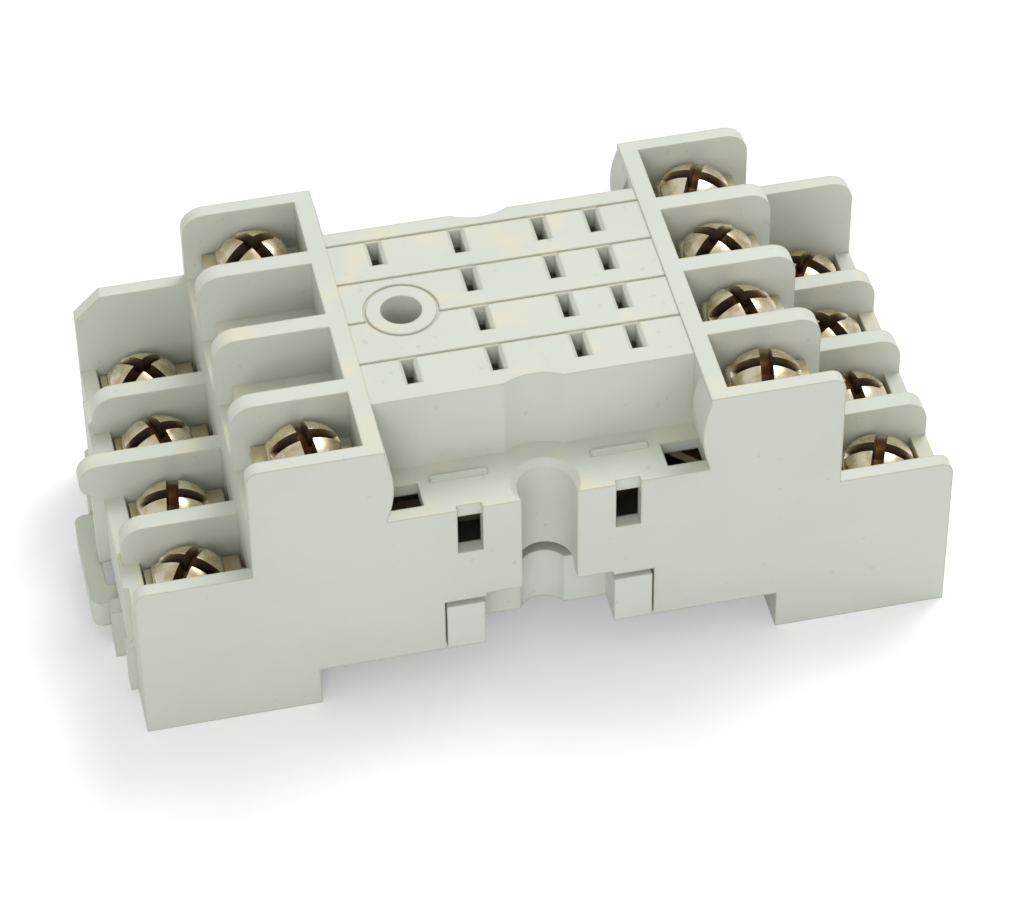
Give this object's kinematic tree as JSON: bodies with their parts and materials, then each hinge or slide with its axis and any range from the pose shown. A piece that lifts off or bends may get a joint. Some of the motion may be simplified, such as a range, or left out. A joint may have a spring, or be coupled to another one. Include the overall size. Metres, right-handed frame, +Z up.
{
  "type": "relay socket",
  "caption": "Tiered relay socket with blade slots, screw terminals with clamp washers, panel notches and a sprung rail latch",
  "frame": {"origin": "Middle of the face that rests on the rail, on the base plate's underside. The feet reach 3.6 mm below it.", "axes": "+X along the socket from the latch end to the other end, across the rail. +Y along the rail, towards the socket's rear, the side with the higher wall. +Z up from the rail towards the relay."},
  "size_m": [0.0642, 0.0294, 0.025],
  "materials": {
    "housing_plastic": "satin",
    "base_plastic": "satin",
    "latch_plastic": "satin",
    "strip_brass": "satin",
    "washer_nickel": "satin",
    "screw_nickel": "polished"
  },
  "bodies": {
    "socket": {"housing": "housing_plastic", "base_plate": "base_plastic", "terminal_1": "strip_brass", "terminal_2": "strip_brass", "terminal_3": "strip_brass", "terminal_4": "strip_brass", "terminal_5": "strip_brass", "terminal_6": "strip_brass", "terminal_7": "strip_brass", "terminal_8": "strip_brass", "terminal_9": "strip_brass", "terminal_10": "strip_brass", "terminal_11": "strip_brass", "terminal_12": "strip_brass", "terminal_13": "strip_brass", "terminal_14": "strip_brass"},
    "latch": {"din_latch": "latch_plastic"},
    "clamp_1": {"washer_1": "washer_nickel"},
    "screw_1": {"screw_1": "screw_nickel"},
    "clamp_2": {"washer_2": "washer_nickel"},
    "screw_2": {"screw_2": "screw_nickel"},
    "clamp_3": {"washer_3": "washer_nickel"},
    "screw_3": {"screw_3": "screw_nickel"},
    "clamp_4": {"washer_4": "washer_nickel"},
    "screw_4": {"screw_4": "screw_nickel"},
    "clamp_5": {"washer_5": "washer_nickel"},
    "screw_5": {"screw_5": "screw_nickel"},
    "clamp_6": {"washer_6": "washer_nickel"},
    "screw_6": {"screw_6": "screw_nickel"},
    "clamp_7": {"washer_7": "washer_nickel"},
    "screw_7": {"screw_7": "screw_nickel"},
    "clamp_8": {"washer_8": "washer_nickel"},
    "screw_8": {"screw_8": "screw_nickel"},
    "clamp_9": {"washer_9": "washer_nickel"},
    "screw_9": {"screw_9": "screw_nickel"},
    "clamp_10": {"washer_10": "washer_nickel"},
    "screw_10": {"screw_10": "screw_nickel"},
    "clamp_11": {"washer_11": "washer_nickel"},
    "screw_11": {"screw_11": "screw_nickel"},
    "clamp_12": {"washer_12": "washer_nickel"},
    "screw_12": {"screw_12": "screw_nickel"},
    "clamp_13": {"washer_13": "washer_nickel"},
    "screw_13": {"screw_13": "screw_nickel"},
    "clamp_14": {"washer_14": "washer_nickel"},
    "screw_14": {"screw_14": "screw_nickel"}
  },
  "joints": [
    {"name": "latch_slide", "type": "slide", "parent": "socket", "child": "latch", "axis": [-1, 0, 0], "range_m": [0, 0.002], "stiffness_N_per_m": 800, "springref_m": -0.001},
    {"name": "screw_1_lift", "type": "slide", "parent": "socket", "child": "clamp_1", "axis": [0, 0, 1], "range_m": [0, 0.002]},
    {"name": "screw_1_turn", "type": "hinge", "parent": "clamp_1", "child": "screw_1", "pos_m": [0.0172, 0.01074, 0.0186], "axis": [0, 0, 1], "range_deg": [0, 1440]},
    {"name": "screw_2_lift", "type": "slide", "parent": "socket", "child": "clamp_2", "axis": [0, 0, 1], "range_m": [0, 0.002]},
    {"name": "screw_2_turn", "type": "hinge", "parent": "clamp_2", "child": "screw_2", "pos_m": [0.0172, 0.00358, 0.0186], "axis": [0, 0, 1], "range_deg": [0, 1440]},
    {"name": "screw_3_lift", "type": "slide", "parent": "socket", "child": "clamp_3", "axis": [0, 0, 1], "range_m": [0, 0.002]},
    {"name": "screw_3_turn", "type": "hinge", "parent": "clamp_3", "child": "screw_3", "pos_m": [0.0172, -0.00358, 0.0186], "axis": [0, 0, 1], "range_deg": [0, 1440]},
    {"name": "screw_4_lift", "type": "slide", "parent": "socket", "child": "clamp_4", "axis": [0, 0, 1], "range_m": [0, 0.002]},
    {"name": "screw_4_turn", "type": "hinge", "parent": "clamp_4", "child": "screw_4", "pos_m": [0.0172, -0.01074, 0.0186], "axis": [0, 0, 1], "range_deg": [0, 1440]},
    {"name": "screw_5_lift", "type": "slide", "parent": "socket", "child": "clamp_5", "axis": [0, 0, 1], "range_m": [0, 0.002]},
    {"name": "screw_5_turn", "type": "hinge", "parent": "clamp_5", "child": "screw_5", "pos_m": [0.02635, 0.01074, 0.0078], "axis": [0, 0, 1], "range_deg": [0, 1440]},
    {"name": "screw_6_lift", "type": "slide", "parent": "socket", "child": "clamp_6", "axis": [0, 0, 1], "range_m": [0, 0.002]},
    {"name": "screw_6_turn", "type": "hinge", "parent": "clamp_6", "child": "screw_6", "pos_m": [0.02635, 0.00358, 0.0078], "axis": [0, 0, 1], "range_deg": [0, 1440]},
    {"name": "screw_7_lift", "type": "slide", "parent": "socket", "child": "clamp_7", "axis": [0, 0, 1], "range_m": [0, 0.002]},
    {"name": "screw_7_turn", "type": "hinge", "parent": "clamp_7", "child": "screw_7", "pos_m": [0.02635, -0.00358, 0.0078], "axis": [0, 0, 1], "range_deg": [0, 1440]},
    {"name": "screw_8_lift", "type": "slide", "parent": "socket", "child": "clamp_8", "axis": [0, 0, 1], "range_m": [0, 0.002]},
    {"name": "screw_8_turn", "type": "hinge", "parent": "clamp_8", "child": "screw_8", "pos_m": [0.02635, -0.01074, 0.0078], "axis": [0, 0, 1], "range_deg": [0, 1440]},
    {"name": "screw_9_lift", "type": "slide", "parent": "socket", "child": "clamp_9", "axis": [0, 0, 1], "range_m": [0, 0.002]},
    {"name": "screw_9_turn", "type": "hinge", "parent": "clamp_9", "child": "screw_9", "pos_m": [-0.02635, 0.01074, 0.0078], "axis": [0, 0, 1], "range_deg": [0, 1440]},
    {"name": "screw_10_lift", "type": "slide", "parent": "socket", "child": "clamp_10", "axis": [0, 0, 1], "range_m": [0, 0.002]},
    {"name": "screw_10_turn", "type": "hinge", "parent": "clamp_10", "child": "screw_10", "pos_m": [-0.02635, 0.00358, 0.0078], "axis": [0, 0, 1], "range_deg": [0, 1440]},
    {"name": "screw_11_lift", "type": "slide", "parent": "socket", "child": "clamp_11", "axis": [0, 0, 1], "range_m": [0, 0.002]},
    {"name": "screw_11_turn", "type": "hinge", "parent": "clamp_11", "child": "screw_11", "pos_m": [-0.02635, -0.00358, 0.0078], "axis": [0, 0, 1], "range_deg": [0, 1440]},
    {"name": "screw_12_lift", "type": "slide", "parent": "socket", "child": "clamp_12", "axis": [0, 0, 1], "range_m": [0, 0.002]},
    {"name": "screw_12_turn", "type": "hinge", "parent": "clamp_12", "child": "screw_12", "pos_m": [-0.02635, -0.01074, 0.0078], "axis": [0, 0, 1], "range_deg": [0, 1440]},
    {"name": "screw_13_lift", "type": "slide", "parent": "socket", "child": "clamp_13", "axis": [0, 0, 1], "range_m": [0, 0.002]},
    {"name": "screw_13_turn", "type": "hinge", "parent": "clamp_13", "child": "screw_13", "pos_m": [-0.0172, 0.01074, 0.0186], "axis": [0, 0, 1], "range_deg": [0, 1440]},
    {"name": "screw_14_lift", "type": "slide", "parent": "socket", "child": "clamp_14", "axis": [0, 0, 1], "range_m": [0, 0.002]},
    {"name": "screw_14_turn", "type": "hinge", "parent": "clamp_14", "child": "screw_14", "pos_m": [-0.0172, -0.01074, 0.0186], "axis": [0, 0, 1], "range_deg": [0, 1440]}
  ],
  "couplings": [
    {"joint": "screw_1_turn", "follows": "screw_1_lift", "rad_per_m": 12566},
    {"joint": "screw_2_turn", "follows": "screw_2_lift", "rad_per_m": 12566},
    {"joint": "screw_3_turn", "follows": "screw_3_lift", "rad_per_m": 12566},
    {"joint": "screw_4_turn", "follows": "screw_4_lift", "rad_per_m": 12566},
    {"joint": "screw_5_turn", "follows": "screw_5_lift", "rad_per_m": 12566},
    {"joint": "screw_6_turn", "follows": "screw_6_lift", "rad_per_m": 12566},
    {"joint": "screw_7_turn", "follows": "screw_7_lift", "rad_per_m": 12566},
    {"joint": "screw_8_turn", "follows": "screw_8_lift", "rad_per_m": 12566},
    {"joint": "screw_9_turn", "follows": "screw_9_lift", "rad_per_m": 12566},
    {"joint": "screw_10_turn", "follows": "screw_10_lift", "rad_per_m": 12566},
    {"joint": "screw_11_turn", "follows": "screw_11_lift", "rad_per_m": 12566},
    {"joint": "screw_12_turn", "follows": "screw_12_lift", "rad_per_m": 12566},
    {"joint": "screw_13_turn", "follows": "screw_13_lift", "rad_per_m": 12566},
    {"joint": "screw_14_turn", "follows": "screw_14_lift", "rad_per_m": 12566}
  ]
}
